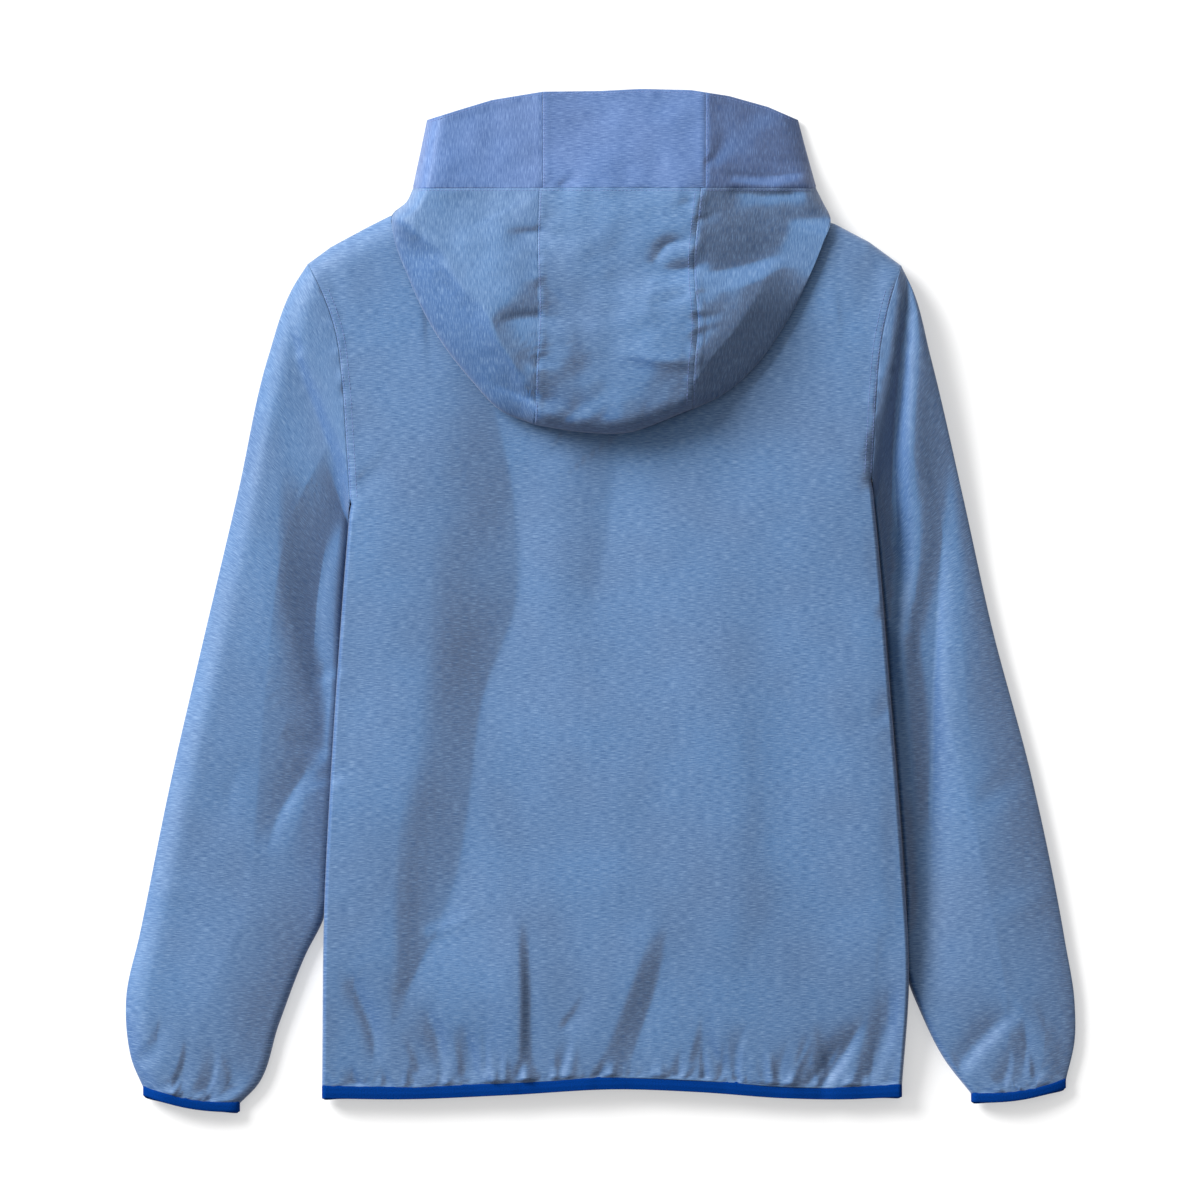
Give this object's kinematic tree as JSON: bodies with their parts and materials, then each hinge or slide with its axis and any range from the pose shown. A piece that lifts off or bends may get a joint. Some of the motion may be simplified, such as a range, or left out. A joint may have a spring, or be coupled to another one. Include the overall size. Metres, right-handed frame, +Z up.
{
  "type": "anorak pullover",
  "caption": "Child's light hooded anorak pullover laid flat, back up, with set-in sleeves, a panelled hood and gathered, bound hem and cuffs.",
  "frame": {"origin": "centre of the garment's bounding box, on the surface that it lies on", "axes": "+X across the garment to its right as seen from above with the hood at the far end, +Y from hem to hood, +Z up from the surface"},
  "size_m": [0.5882, 0.6347, 0.055],
  "materials": {
    "shell_cloth": "semi-matte two-tone plain weave with fine heather streaks",
    "binding_cloth": "matte elastic binding"
  },
  "bodies": {
    "root": {"back": "shell_cloth", "front": "shell_cloth", "sleeve_left": "shell_cloth", "sleeve_right": "shell_cloth", "hood_centre": "shell_cloth", "hood_side_left": "shell_cloth", "hood_side_right": "shell_cloth", "brim_left": "shell_cloth", "brim_centre": "shell_cloth", "brim_right": "shell_cloth", "hem_binding": "binding_cloth", "cuff_binding_left": "binding_cloth", "cuff_binding_right": "binding_cloth"}
  },
  "joints": []
}
